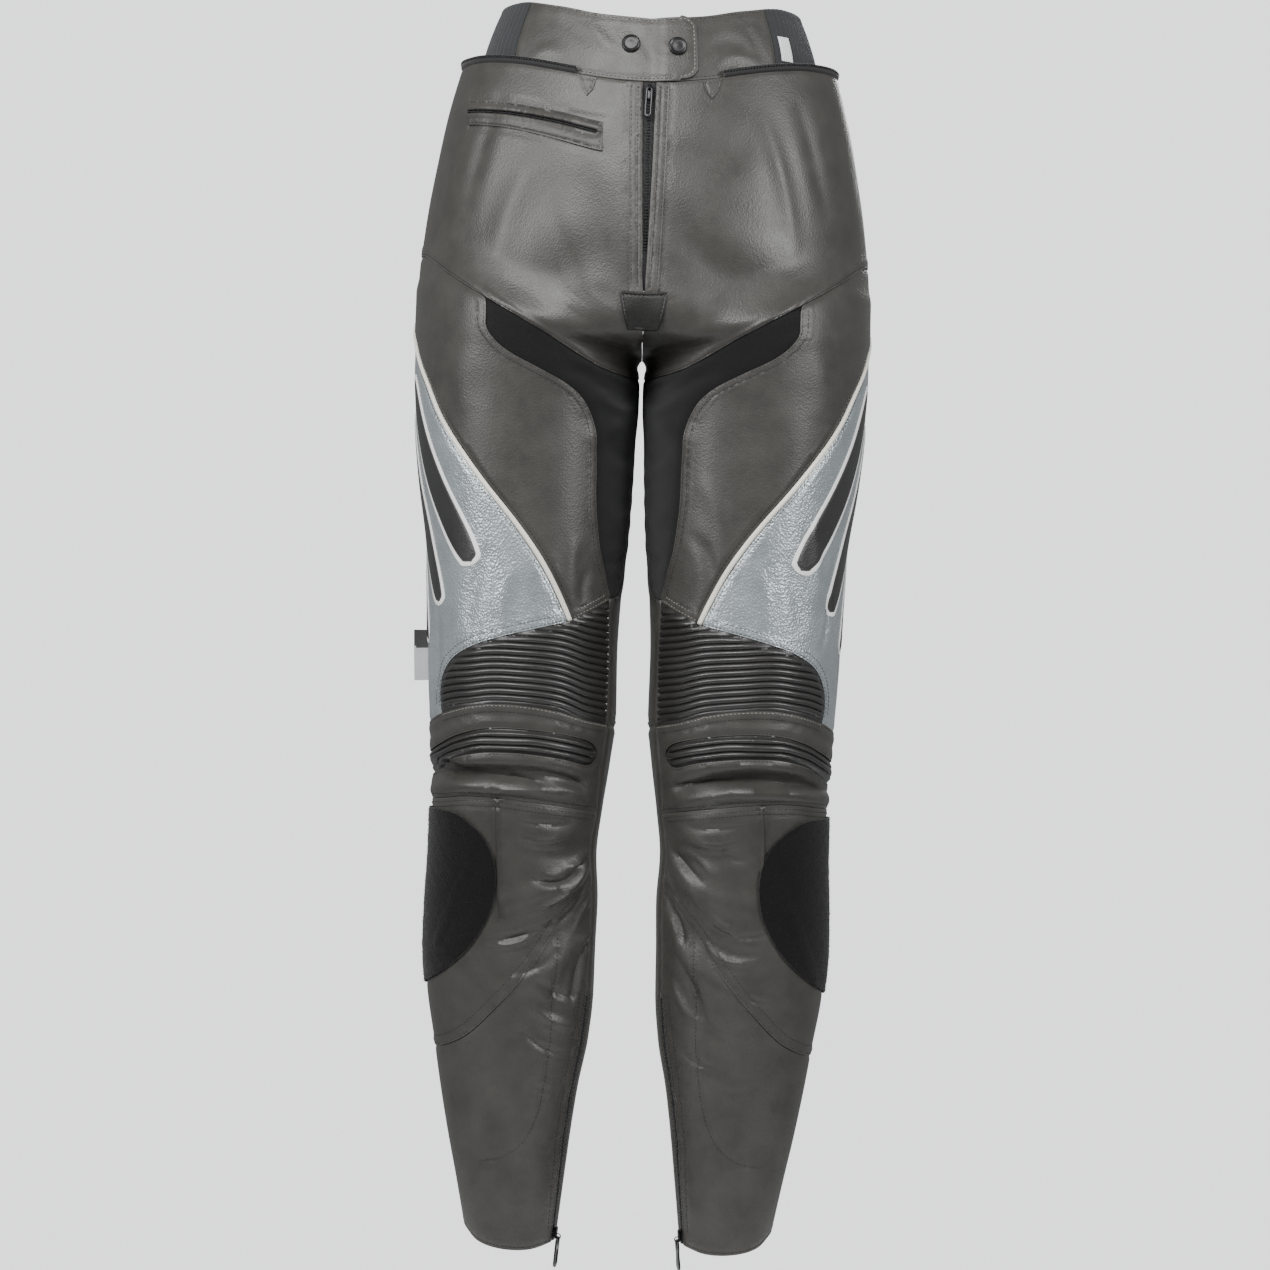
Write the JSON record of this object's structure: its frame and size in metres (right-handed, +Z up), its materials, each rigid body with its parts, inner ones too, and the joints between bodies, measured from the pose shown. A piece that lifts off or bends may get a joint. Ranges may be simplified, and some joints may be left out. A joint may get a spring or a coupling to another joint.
{
  "type": "leather motorcycle trousers",
  "caption": "Women's leather motorcycle trousers in a worn, hollow shape, with ribbed knees, stretch insets, piped side panels, fly, waistband and calf zips.",
  "frame": {"origin": "middle of the waist, at the height of the waist seam at the sides, where the wearer holds the trousers up", "axes": "+Z up, front towards -Y, the wearer's left leg towards +X"},
  "size_m": [0.394, 0.2494, 1.0849],
  "materials": {
    "leather": "semi-matt finished cowhide, dark grey-black",
    "ribbed_leather": "soft leather over padded ribs",
    "panel_leather": "blue-grey coated leather with a fine grain and a metallic sheen",
    "piping_leather": "off-white smooth piping",
    "stretch_fabric": "matt black stretch weave",
    "elastic": "black ribbed elastic",
    "hook_tape": "black hook-and-loop pile",
    "zip_tape": "black woven zip tape with dark teeth",
    "zip_metal": "black lacquered die-cast metal",
    "snap_metal": "black lacquered snap cap",
    "label_fabric": "woven satin label, bare"
  },
  "bodies": {
    "root": {"left_hip_front": "leather", "left_seat_back": "leather", "left_inner_thigh_stretch": "stretch_fabric", "left_thigh_front": "leather", "left_thigh_back": "leather", "left_piping": "piping_leather", "left_side_panel": "panel_leather", "left_knee_accordion": "ribbed_leather", "left_knee_band": "leather", "left_knee_insert": "ribbed_leather", "left_shin_upper": "leather", "left_hook_patch": "hook_tape", "left_shin_lower": "leather", "left_calf_back": "leather", "left_calf_zip": "zip_tape", "left_fly_strip": "leather", "left_zip_end_tab": "leather", "left_calf_slider": "zip_metal", "right_hip_front": "leather", "right_seat_back": "leather", "right_inner_thigh_stretch": "stretch_fabric", "right_thigh_front": "leather", "right_thigh_back": "leather", "right_piping": "piping_leather", "right_side_panel": "panel_leather", "right_knee_accordion": "ribbed_leather", "right_knee_band": "leather", "right_knee_insert": "ribbed_leather", "right_shin_upper": "leather", "right_hook_patch": "hook_tape", "right_shin_lower": "leather", "right_calf_back": "leather", "right_calf_zip": "zip_tape", "right_fly_strip": "leather", "right_zip_end_tab": "leather", "right_calf_slider": "zip_metal", "waistband_front_right": "leather", "waistband_front_left": "leather", "waistband_elastic_right": "elastic", "waistband_elastic_left": "elastic", "waistband_back": "leather", "size_tag": "label_fabric", "joining_zip": "zip_tape", "snap_right": "snap_metal", "snap_left": "snap_metal", "fly_zip": "zip_tape", "fly_slider": "zip_metal", "fly_tab": "leather", "pocket_welt_upper": "leather", "pocket_zip": "zip_tape", "pocket_welt_lower": "leather", "side_label": "label_fabric"},
    "fly_pull": {"fly_zip_pull": "zip_metal"},
    "left_calf_pull": {"left_calf_zip_pull": "zip_metal"},
    "right_calf_pull": {"right_calf_zip_pull": "zip_metal"}
  },
  "joints": [
    {"name": "fly_pull_swing", "type": "hinge", "parent": "root", "child": "fly_pull", "pos_m": [0.00015, -0.10162, -0.02767], "axis": [-0.9993, 0.0076, 0.0377], "range_deg": [0, 150]},
    {"name": "left_calf_pull_swing", "type": "hinge", "parent": "root", "child": "left_calf_pull", "pos_m": [0.05094, -0.00983, -0.99838], "axis": [-0.2864, 0.9578, 0.0247], "range_deg": [0, 150]},
    {"name": "right_calf_pull_swing", "type": "hinge", "parent": "root", "child": "right_calf_pull", "pos_m": [-0.05094, -0.00983, -0.99838], "axis": [-0.2864, -0.9578, -0.0247], "range_deg": [0, 150]}
  ]
}
